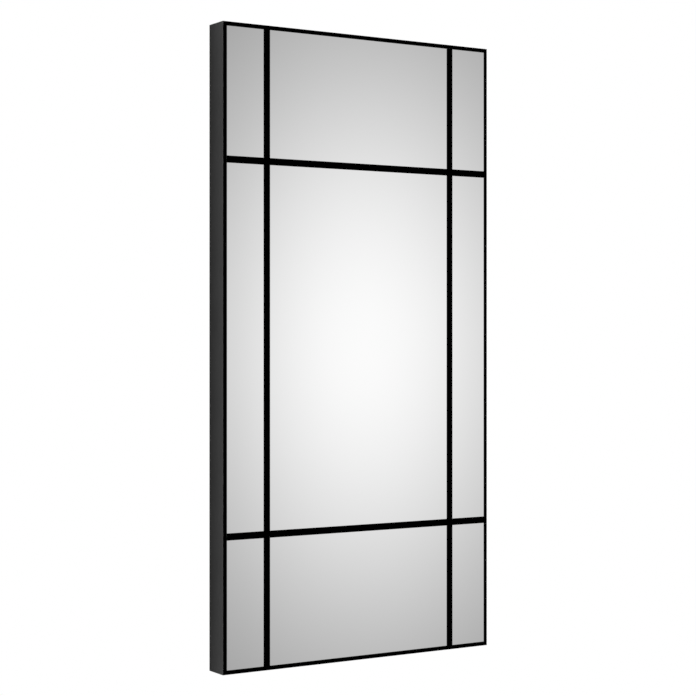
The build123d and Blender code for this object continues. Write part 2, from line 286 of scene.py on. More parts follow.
def facing(tree: Tree, way: Facing) -> Socket:
    """Tell fronts or backs from the rest of a piece.

    Args:
        tree: Node tree that asks.
        way: Which of the two is asked for.

    Returns:
        A socket that is 1 on surfaces that look straight that way, and 0 elsewhere.
    """
    normal = add_node(tree, "NewGeometry", output="Normal")
    along = add_node(tree, "SeparateXYZ", {0: normal}, output="Y")
    signed = add_node(tree, "Math", {0: along, 1: float(way.value)}, MULTIPLY)
    return add_node(tree, "Math", {0: signed, 1: SQUARE_ON}, {"operation": "GREATER_THAN"})


@dataclass(frozen=True)
class PowderCoat(Finish):
    """Black polyester powder baked on metal: an even dark skin with a fine orange peel."""

    dark: str
    light: str
    speck: str
    roughness: float
    specular: float
    peel_mm: float = 1.6
    peel_detail: float = 1.5
    peel_depth_mm: float = 0.1
    # Real grit is near 0.1 mm: drawn coarser, so that it shows in a close render
    grit_mm: float = 0.45
    grit_detail: float = 1.0
    grit_depth_mm: float = 0.05
    grit_range: Span = (0.5, 0.75)
    speck_share: float = 0.6
    glossier: float = 0.05
    duller: float = 0.07
    drift_mm: float = 85.0

    def surface(self, tree: Tree) -> Socket:
        """Build the coat: slow drift of the shade, orange peel, and grit in the gloss.

        Args:
            tree: Node tree that the coat goes into.

        Returns:
            The shader's socket.
        """
        place = here(tree)
        drift = add_node(tree, "TexNoise", {"Vector": place, "Scale": per_size(self.drift_mm)})
        fine = {"Vector": place, "Scale": per_size(self.grit_mm), "Detail": self.grit_detail}
        grit = add_node(tree, "TexNoise", fine)
        coarse = {"Vector": place, "Scale": per_size(self.peel_mm), "Detail": self.peel_detail}
        dimples = {
            "Height": add_node(tree, "TexNoise", coarse),
            "Distance": self.peel_depth_mm * MM,
        }
        skin = {
            "Height": grit,
            "Distance": self.grit_depth_mm * MM,
            "Normal": add_node(tree, "Bump", dimples),
        }
        gloss = {
            0: grit,
            1: NOISE_LOW,
            2: NOISE_HIGH,
            3: self.roughness - self.glossier,
            4: self.roughness + self.duller,
        }
        even = two_tones(tree, drift, self.dark, self.light)
        inputs = {
            "Base Color": flecked(
                tree, even, grit, self.grit_range, self.speck_share, self.speck
            ),
            "Roughness": add_node(tree, "MapRange", gloss),
            "Specular IOR Level": self.specular,
            "Normal": add_node(tree, "Bump", skin),
        }
        return add_node(tree, "BsdfPrincipled", inputs)


@dataclass(frozen=True)
class SilveredGlass(Finish):
    """Float glass silvered on its back: a clear neutral reflection, and grey paint behind."""

    silver: str = "F8F8F8"
    silver_far: str = "F6F6F6"
    drift_mm: float = 260.0
    ground_edge: str = "9DB5AB"
    edge_roughness: float = 0.45
    # Grinding marks, really some 0.05 mm wide, are drawn coarser so that they show
    grind_mm: float = 0.3
    grind_depth_mm: float = 0.02
    paint: str = "7C8682"
    paint_roughness: float = 0.6
    brush_mm: float = 3.0
    brush_stretch: float = 0.05
    brush_depth_mm: float = 0.03

    def surface(self, tree: Tree) -> Socket:
        """Build the mirror face, the ground edges and the painted back.

        Args:
            tree: Node tree that the glass goes into.

        Returns:
            The shader's socket.
        """
        place = here(tree)
        drift = add_node(tree, "TexNoise", {"Vector": place, "Scale": per_size(self.drift_mm)})
        tones = {0: drift, 6: linear(self.silver), 7: linear(self.silver_far)}
        tone = add_node(tree, "Mix", tones, MIX_COLOURS, output=MIXED_COLOUR)
        marks = add_node(tree, "TexNoise", {"Vector": place, "Scale": per_size(self.grind_mm)})
        brushed = here(tree, (self.brush_stretch, 1.0, 1.0))
        streaks = add_node(tree, "TexNoise", {"Vector": brushed, "Scale": per_size(self.brush_mm)})
        ground = {"Height": marks, "Distance": self.grind_depth_mm * MM}
        rough = {"Height": streaks, "Distance": self.brush_depth_mm * MM}
        shiny = {"Base Color": tone, "Metallic": 1.0, "Roughness": 0.0}
        frosty = {
            "Base Color": linear(self.ground_edge),
            "Roughness": self.edge_roughness,
            "Normal": add_node(tree, "Bump", ground),
        }
        painted = {
            "Base Color": linear(self.paint),
            "Roughness": self.paint_roughness,
            "Normal": add_node(tree, "Bump", rough),
        }
        silver, edge, coat = (
            add_node(tree, "BsdfPrincipled", inputs) for inputs in (shiny, frosty, painted)
        )
        sides = add_node(tree, "MixShader", {0: facing(tree, Facing.BACK), 1: edge, 2: coat})
        return add_node(tree, "MixShader", {0: facing(tree, Facing.FRONT), 1: sides, 2: silver})


@dataclass(frozen=True)
class PlatedSteel(Finish):
    """Rolled steel with a thin metal plate on it: soft mirror-like sheen under faint clouds."""

    dark: str
    light: str
    roughness: float
    cloud_mm: float = 9.0
    cloud_gloss: float = 0.03
    # Rolling marks are finer on real sheet: drawn this wide, so that they show
    scratch_mm: float = 0.35
    scratch_stretch: float = 0.02
    scratch_depth_mm: float = 0.0006
    scratch_gloss: float = 0.07
    detail: float = 3.0

    def surface(self, tree: Tree) -> Socket:
        """Build the plate: clouds in the shade, rolling marks in the relief and the gloss.

        Args:
            tree: Node tree that the plate goes into.

        Returns:
            The shader's socket.
        """
        rolled = here(tree, (1.0, 1.0, self.scratch_stretch))
        clouds, marks = (
            add_node(
                tree,
                "TexNoise",
                {"Vector": place, "Scale": per_size(size), "Detail": self.detail},
            )
            for place, size in ((here(tree), self.cloud_mm), (rolled, self.scratch_mm))
        )
        low, high = self.roughness, self.roughness + self.scratch_gloss
        cloudy = {0: clouds, 1: NOISE_LOW, 2: NOISE_HIGH, 3: -self.cloud_gloss, 4: self.cloud_gloss}
        scratched = {0: marks, 1: NOISE_LOW, 2: NOISE_HIGH, 3: low, 4: high}
        both = {
            0: add_node(tree, "MapRange", cloudy),
            1: add_node(tree, "MapRange", scratched),
        }
        fine = {"Height": marks, "Distance": self.scratch_depth_mm * MM}
        inputs = {
            "Base Color": two_tones(tree, clouds, self.dark, self.light),
            "Metallic": 1.0,
            "Roughness": add_node(tree, "Math", both, ADD),
            "Normal": add_node(tree, "Bump", fine),
        }
        return add_node(tree, "BsdfPrincipled", inputs)


@dataclass(frozen=True)
class Hardboard(Finish):
    """Pressed wood fibre: mottled brown, with the press screen's mesh on the rough side."""

    dark: str = "4B3626"
    light: str = "644932"
    mottle_mm: float = 7.0
    mottle_detail: float = 5.0
    mottle_rough: float = 0.65
    mesh_mm: float = 1.9
    mesh_depth_mm: float = 0.14
    fibre: str = "84684B"
    # Single fibres are some 0.1 mm thick: drawn coarser, so that they show
    fibre_mm: float = 0.6
    fibre_detail: float = 4.0
    fibre_rough: float = 0.7
    fibre_stretch: float = 0.35
    fibre_depth_mm: float = 0.05
    fibre_share: float = 0.55
    fibre_range: Span = (0.52, 0.74)
    roughness: Span = (0.62, 0.8)
    specular: float = 0.3

    def mesh(self, tree: Tree, place: Socket) -> Socket:
        """Press the screen's mesh into the back.

        Args:
            tree: Node tree that the mesh goes into.
            place: Where it is read.

        Returns:
            The normal of the pressed surface.
        """
        turn = 2.0 * math.pi * per_size(self.mesh_mm)
        waves = {}
        for number, axis in enumerate(("X", "Z")):
            along = add_node(tree, "SeparateXYZ", {0: place}, output=axis)
            angle = add_node(tree, "Math", {0: along, 1: turn}, MULTIPLY)
            waves[number] = add_node(tree, "Math", {0: angle}, {"operation": "SINE"})
        knots = add_node(tree, "Math", waves, MULTIPLY)
        pressed = add_node(tree, "Math", {0: knots, 1: facing(tree, Facing.BACK)}, MULTIPLY)
        return add_node(
            tree, "Bump", {"Height": pressed, "Distance": self.mesh_depth_mm * MM}
        )

    def surface(self, tree: Tree) -> Socket:
        """Build the board: mottle, single pale fibres, and the mesh pressed into the back.

        Args:
            tree: Node tree that the board goes into.

        Returns:
            The shader's socket.
        """
        place = here(tree)
        soft = {
            "Vector": place,
            "Scale": per_size(self.mottle_mm),
            "Detail": self.mottle_detail,
            "Roughness": self.mottle_rough,
        }
        thin = {
            "Vector": here(tree, (1.0, 1.0, self.fibre_stretch)),
            "Scale": per_size(self.fibre_mm),
            "Detail": self.fibre_detail,
            "Roughness": self.fibre_rough,
        }
        mottle, fibres = (add_node(tree, "TexNoise", inputs) for inputs in (soft, thin))
        ground = two_tones(tree, mottle, self.dark, self.light)
        low, high = self.roughness
        dull = {0: fibres, 1: NOISE_LOW, 2: NOISE_HIGH, 3: low, 4: high}
        raised = {
            "Height": fibres,
            "Distance": self.fibre_depth_mm * MM,
            "Normal": self.mesh(tree, place),
        }
        inputs = {
            "Base Color": flecked(
                tree, ground, fibres, self.fibre_range, self.fibre_share, self.fibre
            ),
            "Roughness": add_node(tree, "MapRange", dull),
            "Specular IOR Level": self.specular,
            "Normal": add_node(tree, "Bump", raised),
        }
        return add_node(tree, "BsdfPrincipled", inputs)


@dataclass(frozen=True)
class Rubber(Finish):
    """Moulded or foamed rubber: matt and dark, with fine pores."""

    dark: str
    light: str
    pore_mm: float
    pore_depth_mm: float
    roughness: float = 0.75
    specular: float = 0.35
    drift_mm: float = 12.0

    def surface(self, tree: Tree) -> Socket:
        """Build the rubber: pores in the relief and a slow drift of the shade.

        Args:
            tree: Node tree that the rubber goes into.

        Returns:
            The shader's socket.
        """
        place = here(tree)
        pores = add_node(tree, "TexVoronoi", {"Vector": place, "Scale": per_size(self.pore_mm)})
        drift = add_node(tree, "TexNoise", {"Vector": place, "Scale": per_size(self.drift_mm)})
        pitted = {"Height": pores, "Distance": self.pore_depth_mm * MM}
        inputs = {
            "Base Color": two_tones(tree, drift, self.dark, self.light),
            "Roughness": self.roughness,
            "Specular IOR Level": self.specular,
            "Normal": add_node(tree, "Bump", pitted),
        }
        return add_node(tree, "BsdfPrincipled", inputs)


@dataclass(frozen=True)
class Felt(Finish):
    """Needled wool felt: soft black, with short fibres that catch the light."""

    dark: str = "0F0F10"
    light: str = "2B2B2D"
    # Wool is some 0.03 mm thick: drawn as small clumps, so that it shows
    fibre_mm: float = 0.22
    fibre_detail: float = 4.0
    fibre_rough: float = 0.75
    fibre_depth_mm: float = 0.12
    tuft_mm: float = 1.6
    tuft_detail: float = 3.0
    tuft_depth_mm: float = 0.2
    roughness: float = 0.95
    specular: float = 0.1
    sheen: float = 0.35
    sheen_roughness: float = 0.5

    def surface(self, tree: Tree) -> Socket:
        """Build the felt: fibres lying every way over soft tufts.

        Args:
            tree: Node tree that the felt goes into.

        Returns:
            The shader's socket.
        """
        place = here(tree)
        thin = {
            "Vector": place,
            "Scale": per_size(self.fibre_mm),
            "Detail": self.fibre_detail,
            "Roughness": self.fibre_rough,
        }
        soft = {"Vector": place, "Scale": per_size(self.tuft_mm), "Detail": self.tuft_detail}
        fibres, tufts = (add_node(tree, "TexNoise", inputs) for inputs in (thin, soft))
        under = {"Height": tufts, "Distance": self.tuft_depth_mm * MM}
        over = {
            "Height": fibres,
            "Distance": self.fibre_depth_mm * MM,
            "Normal": add_node(tree, "Bump", under),
        }
        inputs = {
            "Base Color": two_tones(tree, fibres, self.dark, self.light),
            "Roughness": self.roughness,
            "Specular IOR Level": self.specular,
            "Sheen Weight": self.sheen,
            "Sheen Roughness": self.sheen_roughness,
            "Normal": add_node(tree, "Bump", over),
        }
        return add_node(tree, "BsdfPrincipled", inputs)


# Powder coat on the frame: sooty grey where light rakes it, black where it faces a dark room
FRAME_COAT = PowderCoat(
    "baked_black_powder",
    dark="1C1C1C",
    light="202020",
    speck="343434",
    roughness=0.44,
    specular=0.4,
)
# Lacquer on the bars: flat black with hardly any sheen
BAR_LACQUER = PowderCoat(
    "flat_black_lacquer",
    dark="0B0B0B",
    light="0E0E0E",
    speck="181818",
    roughness=0.6,
    specular=0.25,
    peel_depth_mm=0.02,
    grit_depth_mm=0.01,
)
# Silvered float glass: a sharp neutral image, frosty green ground edges, dull grey paint behind
MIRROR = SilveredGlass("silvered_float_glass")
# Zinc plate: pale silver with a cold cast
ZINC = PlatedSteel("bright_zinc_plate", dark="AEB2B6", light="C6C8CA", roughness=0.3)
# Tempered spring steel: mid grey with a soft rolled sheen
SPRING = PlatedSteel(
    "tempered_spring_steel", dark="868A8F", light="A0A3A7", roughness=0.34, cloud_mm=5.0
)
# Black oxide: near black metal with an oily sheen
OXIDE = PlatedSteel(
    "black_oxide_steel", dark="232427", light="36373A", roughness=0.34, cloud_mm=1.5
)
# Pressed hardboard: warm mottled brown, dull, with a fine woven mark on its rough side
BOARD = Hardboard("pressed_hardboard")
# Closed-cell foam, cut from sheet: charcoal and quite dull, with small open pores
FOAM = Rubber(
    "closed_cell_foam", dark="1C1C1C", light="2A2A2A", pore_mm=0.5, pore_depth_mm=0.08
)
# Acrylic foam tape: near black, a little smoother than the foam
TAPE = Rubber(
    "acrylic_tape",
    dark="121212",
    light="181818",
    pore_mm=0.3,
    pore_depth_mm=0.02,
    roughness=0.6,
)
# Moulded rubber: even dark grey with hardly any pores
BLOCK_RUBBER = Rubber(
    "moulded_rubber", dark="191919", light="222222", pore_mm=0.6, pore_depth_mm=0.03
)
# Needled wool felt: fuzzy black whose fibres grey it at a glancing angle
FELT = Felt("black_wool_felt")


def cad(*names: str) -> list[Piece]:
    """Give the shown pieces of these nodes."""
    return [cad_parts[name] for name in names]


def cad_like(*starts: str) -> list[Piece]:
    """Give the pieces of all nodes whose names begin with one of these."""
    nodes = sorted(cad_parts.items())
    return [piece for name, piece in nodes if name.startswith(starts)]


def piece_in_hand() -> Piece:
    """Give the piece that the operators work on."""
    return bpy.context.object


def pick_none() -> None:
    """Deselect every piece before a new one is started."""
    bpy.ops.object.select_all(action="DESELECT")


def pick(*pieces: Piece) -> None:
    """Select these pieces alone, the first of them active.

    Args:
        pieces: What the next operators work on.
    """
    pick_none()
    for piece in pieces:
        piece.select_set(True)
    bpy.context.view_layer.objects.active = pieces[0]


def turned(name: str, profile_mm: list[Span], sides: int = 24) -> Piece:
    """Turn a solid as on a lathe, along z, one extrusion for each step of its profile.

    Args:
        name: What the piece is called.
        profile_mm: Radius and height of each step, from the lower end up.
        sides: How many faces go round it.

    Returns:
        The closed piece, its axis on z.
    """
    pick_none()
    radius, height = profile_mm[0]
    bpy.ops.mesh.primitive_circle_add(
        vertices=sides, radius=radius * MM, fill_type="NGON", location=(0, 0, height * MM)
    )
    piece = piece_in_hand()
    piece.name = name
    bpy.ops.object.transform_apply(location=True)
    bpy.ops.object.mode_set(mode="EDIT")
    bpy.ops.mesh.select_all(action="SELECT")
    for next_radius, next_height in profile_mm[1:]:
        rise = (0, 0, (next_height - height) * MM)
        bpy.ops.mesh.extrude_region_move(TRANSFORM_OT_translate={"value": rise})
        shrink = next_radius / radius
        bpy.ops.transform.resize(
            value=(shrink, shrink, 1), center_override=(0, 0, next_height * MM)
        )
        radius, height = next_radius, next_height
    bpy.ops.mesh.select_all(action="SELECT")
    bpy.ops.mesh.normals_make_consistent(inside=False)
    bpy.ops.object.mode_set(mode="OBJECT")
    return piece


def cut_hexagon(piece: Piece, across_flats_mm: float, top_mm: float, depth_mm: float) -> None:
    """Sink a hexagon socket with a drilled point into a piece's upper end.

    Args:
        piece: What is cut.
        across_flats_mm: Size of the hexagon.
        top_mm: Height of the upper end.
        depth_mm: How deep the hexagon goes.
    """
    tip_radius, overshoot = 0.05, 1.0
    corner = across_flats_mm / 2 / math.cos(math.radians(30))
    floor = top_mm - depth_mm
    profile = [(tip_radius, floor - corner / 2), (corner, floor), (corner, top_mm + overshoot)]
    cutter = turned("hexagon_punch", profile, sides=6)
    pick(piece)
    cut = piece.modifiers.new("socket", "BOOLEAN")
    cut.object = cutter
    cut.solver = "EXACT"
    bpy.ops.object.modifier_apply(modifier=cut.name)
    bpy.data.objects.remove(cutter)


def thread_steps(core: float, crest: float, low: float, high: float, pitch: float) -> list[Span]:
    """Give the profile of a screw thread between two heights, in millimetres.

    Args:
        core: Radius at the bottom of the groove.
        crest: Radius on top of the thread.
        low: Where the thread starts.
        high: Where the thread stops.
        pitch: Distance from one crest to the next.

    Returns:
        Radius and height of each step, from the lower end up.
    """
    steps = []
    for turn in range(int((high - low) / pitch)):
        start = low + turn * pitch
        steps += [
            (core, start + GROOVE_END * pitch),
            (crest, start + CREST_START * pitch),
            (crest, start + CREST_END * pitch),
        ]
    return steps


def finish_screw(screw: Piece) -> None:
    """Smooth a turned screw's round faces and blacken it."""
    bpy.ops.object.shade_smooth_by_angle(angle=math.radians(SMOOTH_BELOW_DEG))
    OXIDE.put_on(screw)


def stand_along_depth(piece: Piece, x_mm: float, y_mm: float, z_mm: float) -> None:
    """Turn a piece from the z axis to face backwards, and put its zero at a place.

    Args:
        piece: What is moved, its place kept in its mesh.
        x_mm: Where its axis stands across.
        y_mm: Where its lower end goes in depth.
        z_mm: Where its axis stands in height.
    """
    pick(piece)
    place = Matrix.Translation((x_mm * MM, y_mm * MM, z_mm * MM))
    piece.matrix_world = place @ Matrix.Rotation(math.radians(-90), 4, "X")
    bpy.ops.object.transform_apply(location=True, rotation=True, scale=True)


def copy_of(piece: Piece, name: str) -> Piece:
    """Copy a piece together with its mesh.

    Args:
        piece: What is copied.
        name: What the copy is called.

    Returns:
        The copy.
    """
    pick(piece)
    bpy.ops.object.duplicate(linked=False)
    made = piece_in_hand()
    made.name = name
    return made


def soften(pieces: list[Piece], width_mm: float, segments: int = 2) -> None:
    """Take the sharpness off pieces' edges with live modifiers.

    Args:
        pieces: What to soften.
        width_mm: How far in from the edge the rounding begins.
        segments: How many faces the rounding has.
    """
    for piece in pieces:
        weld = piece.modifiers.new("weld", "WELD")
        weld.merge_threshold = WELD_MM * MM
        flats = piece.modifiers.new("whole_flats", "DECIMATE")
        flats.decimate_type = "DISSOLVE"
        flats.angle_limit = math.radians(FLAT_DEG)
        edge = piece.modifiers.new("softened_edges", "BEVEL")
        edge.width = width_mm * MM
        edge.segments = segments
        edge.limit_method = "ANGLE"
        edge.angle_limit = math.radians(SHARP_DEG)
        edge.use_clamp_overlap = True
        tidy = piece.modifiers.new("closed_seams", "WELD")
        tidy.merge_threshold = SEAM_MM * MM


@dataclass
class SubAssembly:
    """Pieces that belong together, modelled and then dressed."""

    def build(self) -> None:
        """Model what the solids leave out: nothing, unless the sub-assembly says otherwise."""

    def dress(self) -> None:
        """Give the pieces their finishes and soft edges."""
        raise NotImplementedError


@dataclass
class BoxFrame(SubAssembly):
    """Four mitred lengths of one extrusion."""

    edge_mm: float = 0.15

    def dress(self) -> None:
        """Coat the four lengths and soften their cut edges."""
        lengths = cad(*FRAME_LENGTHS)
        FRAME_COAT.put_on(*lengths)
        soften(lengths, self.edge_mm)


@dataclass
class Pane(SubAssembly):
    """Mirror glass, the board behind it, and what holds the two together and apart."""

    board_edge_mm: float = 0.3

    def dress(self) -> None:
        """Give glass, board, tapes, gasket and blocks their finishes."""
        MIRROR.put_on(*cad("mirror_glass"))
        board = cad("back_board")
        BOARD.put_on(*board)
        soften(board, self.board_edge_mm)
        FOAM.put_on(*cad("mirror_tape", "lip_gasket"))
        BLOCK_RUBBER.put_on(*cad("setting_blocks"))


@dataclass
class BarGrid(SubAssembly):
    """Flat bars on the glass, two upright and two level in three runs each."""

    def dress(self) -> None:
        """Lacquer the bars and dress the tape under them."""
        tapes = cad_like("vertical_bar_tape", "horizontal_bar_tape")
        both = cad_like("vertical_bar", "horizontal_bar")
        BAR_LACQUER.put_on(*(piece for piece in both if piece not in tapes))
        TAPE.put_on(*tapes)


@dataclass
class CornerJoints(SubAssembly):
    """What holds each mitre shut: an angle in front, a threaded plate and screws behind."""

    edge_mm: float = 0.25
    slot_from_edge_mm: float = 10.3
    screws_from_corner_mm: Span = (24.0, 41.0)
    screw_radius_mm: float = 2.45
    screw_core_mm: float = 2.05
    screw_pitch_mm: float = 0.8
    screw_end_mm: float = 0.45
    cup_radius_mm: float = 1.1
    cup_depth_mm: float = 0.35
    cup_rim_mm: float = 1.25
    socket_mm: float = 2.5
    socket_depth_mm: float = 2.0

    def build_screw(self, length: float) -> Piece:
        """Make one cup-ended socket grub screw along z, its lower end at zero.

        Args:
            length: Its length in millimetres.

        Returns:
            The screw.
        """
        crest, core, end = self.screw_radius_mm, self.screw_core_mm, self.screw_end_mm
        profile = [(self.cup_radius_mm, self.cup_depth_mm), (self.cup_rim_mm, 0.0), (core, end)]
        profile += thread_steps(core, crest, end, length - end, self.screw_pitch_mm)
        profile += [(crest, length - end), (core, length)]
        screw = turned("corner_grub_screw", profile)
        cut_hexagon(screw, self.socket_mm, length, self.socket_depth_mm)
        finish_screw(screw)
        return screw

    def corner_places(self, across: Side, up: Side) -> list[tuple[str, float, float]]:
        """Find the screws of one corner.

        Args:
            across: The corner's stile.
            up: The corner's rail.

        Returns:
            Each screw's name, x and z in millimetres.
        """
        low, high = CAD_BOX
        x = (low if across is Side.LEFT else high).x / MM
        z = (low if up is Side.BOTTOM else high).z / MM
        x_in, z_in = -across.value[0], -up.value[1]
        start = f"grub_screw_{up.name.lower()}_{across.name.lower()}"
        slot = self.slot_from_edge_mm
        found = []
        for number, along in enumerate(self.screws_from_corner_mm, 1):
            found += [
                (f"{start}_rail_{number}", x + x_in * along, z + z_in * slot),
                (f"{start}_stile_{number}", x + x_in * slot, z + z_in * along),
            ]
        return found

    def build(self) -> None:
        """Put a threaded screw in every hole of the corner plates."""
        front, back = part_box("corner_grub_screws")
        first = self.build_screw((back.y - front.y) / MM)
        corners = [(a, b) for a in (Side.LEFT, Side.RIGHT) for b in (Side.BOTTOM, Side.TOP)]
        for across, up in corners:
            for name, x, z in self.corner_places(across, up):
                screw = copy_of(first, name)
                stand_along_depth(screw, x, front.y / MM, z)
                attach(screw, "mirror")
                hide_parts("corner_grub_screws")
        bpy.data.objects.remove(first)

    def dress(self) -> None:
        """Plate the angles and plates."""
        plates = cad_like("corner_plate", "corner_aligner")
        ZINC.put_on(*plates)
        soften(plates, self.edge_mm)


@dataclass
class SpringClips(SubAssembly):
    """Rows of leaf springs that press the board forwards."""

    edge_mm: float = 0.08

    def dress(self) -> None:
        """Give the springs their steel, their sheared edges rubbed smooth."""
        clips = cad_like("spring_clips")
        SPRING.put_on(*clips)
        soften(clips, self.edge_mm, segments=1)


@dataclass
class Hanger(SubAssembly):
    """A keyhole plate clamped to the top rail's channel by a nut bar and two screws."""

    side: Side
    edge_mm: float = 0.25
    screw_spacing_mm: float = 24.0
    head_mm: float = 3.75
    head_edge_mm: float = 0.12
    head_chamfer_mm: float = 0.08
    head_chamfer_height_mm: float = 0.05
    shank_mm: float = 2.0
    shank_collar_mm: float = 0.3
    thread_core_mm: float = 1.62
    thread_clearance_mm: float = 0.03
    thread_runout_mm: float = 0.4
    thread_pitch_mm: float = 0.7
    point_chamfer_mm: float = 0.25
    point_height_mm: float = 0.3
    socket_mm: float = 2.5
    socket_depth_mm: float = 2.0

    def build_screw(self, length: float) -> Piece:
        """Make one countersunk socket screw along z, its point at zero.

        Args:
            length: Its length in millimetres.

        Returns:
            The screw.
        """
        core, shank, point = self.thread_core_mm, self.shank_mm, self.point_height_mm
        crest = shank - self.thread_clearance_mm
        neck = length - (self.head_mm - shank)
        rim = self.head_mm - self.head_edge_mm
        profile = [(core - self.point_chamfer_mm, 0.0), (core, point)]
        runout = neck - self.thread_runout_mm
        profile += thread_steps(core, crest, point, runout, self.thread_pitch_mm)
        profile += [
            (shank, neck - self.shank_collar_mm),
            (shank, neck),
            (rim, length - 2 * self.head_edge_mm),
            (rim, length - self.head_chamfer_height_mm),
            (rim - self.head_chamfer_mm, length),
        ]
        screw = turned("hanger_screw", profile, sides=36)
        cut_hexagon(screw, self.socket_mm, length, self.socket_depth_mm)
        finish_screw(screw)
        return screw

    def build(self) -> None:
        """Put the two countersunk screws into the plate, flush with its back."""
        name = self.side.name.lower()
        node = f"hanger_screws_{name}"
        low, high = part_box(node)
        first = self.build_screw((high.y - low.y) / MM)
        middle = (low + high) / 2 / MM
        for number, way in enumerate((-1, 1), 1):
            screw = copy_of(first, f"hanger_screw_{name}_{number}")
            x = middle.x + way * self.screw_spacing_mm / 2
            stand_along_depth(screw, x, low.y / MM, middle.z)
            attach(screw, f"hanger_{name}")
            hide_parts(node)
        bpy.data.objects.remove(first)

    def dress(self) -> None:
        """Plate the steel."""
        name = self.side.name.lower()
        steel = cad(f"hanger_plate_{name}", f"hanger_nut_bar_{name}")
        ZINC.put_on(*steel)
        soften(steel, self.edge_mm)


@dataclass
class WallPads(SubAssembly):
    """Felt pads on the bottom rail."""

    edge_mm: float = 0.8

    def dress(self) -> None:
        """Dress the pads in felt, their edges pressed soft."""
        pads = cad_like("wall_pad")
        FELT.put_on(*pads)
        soften(pads, self.edge_mm, segments=3)


@dataclass
class Photographer:
    """The camera, placed as it stood for the photograph."""

    focal_px: float = 1762.0
    heading_deg: float = 32.043
    x: float = -1.8192
    y: float = -2.9143
    z: float = -0.5383
    horizon_px: float = 337.3
    nearest: float = 0.05
    farthest: float = 200.0

    def shoot(self) -> Piece:
        """Make the scene's camera.

        Returns:
            The camera.
        """
        turn = (math.radians(90), 0.0, -math.radians(self.heading_deg))
        bpy.ops.object.camera_add(location=(self.x, self.y, self.z), rotation=turn)
        camera = piece_in_hand()
        camera.name = "camera"
        camera.data.sensor_width = SENSOR_WIDTH
        camera.data.lens = SENSOR_WIDTH * self.focal_px / IMAGE_SIDE
        camera.data.shift_y = (self.horizon_px - IMAGE_SIDE / 2) / IMAGE_SIDE
        camera.data.clip_start = self.nearest
        camera.data.clip_end = self.farthest
        bpy.context.scene.camera = camera
        return camera

    def line_of_sight(self, column: float, row: float) -> tuple[Vector, Vector]:
        """Find which way the camera sees a pixel of the photograph.

        Args:
            column: The pixel's distance from the left.
            row: The pixel's distance from the top.

        Returns:
            Where the camera stands, and the way it looks, one unit long.
        """
        heading = math.radians(self.heading_deg)
        ahead = Vector((math.sin(heading), math.cos(heading), 0.0))
        right = Vector((math.cos(heading), -math.sin(heading), 0.0))
        across = (column - IMAGE_SIDE / 2) / self.focal_px
        up = (self.horizon_px - row) / self.focal_px
        way = ahead + right * across + Vector((0, 0, up))
        return Vector((self.x, self.y, self.z)), way.normalized()


@dataclass(frozen=True)
class Lamp:
    """A soft rectangular light behind the mirror, placed from the mirror's middle."""

    name: str
    offset: Triple
    size: Span
    watts: float
    on_frame: bool = False


BACK_LAMPS = (
    Lamp("back_key", (-1.9, 2.6, 1.2), (1.8, 1.8), 170.0),
    Lamp("back_fill", (2.4, 2.2, 0.3), (1.8, 1.8), 80.0),
    Lamp("back_sheen", (0.0, 2.4, 1.3), (0.5, 1.0), 26.0, on_frame=True),
)


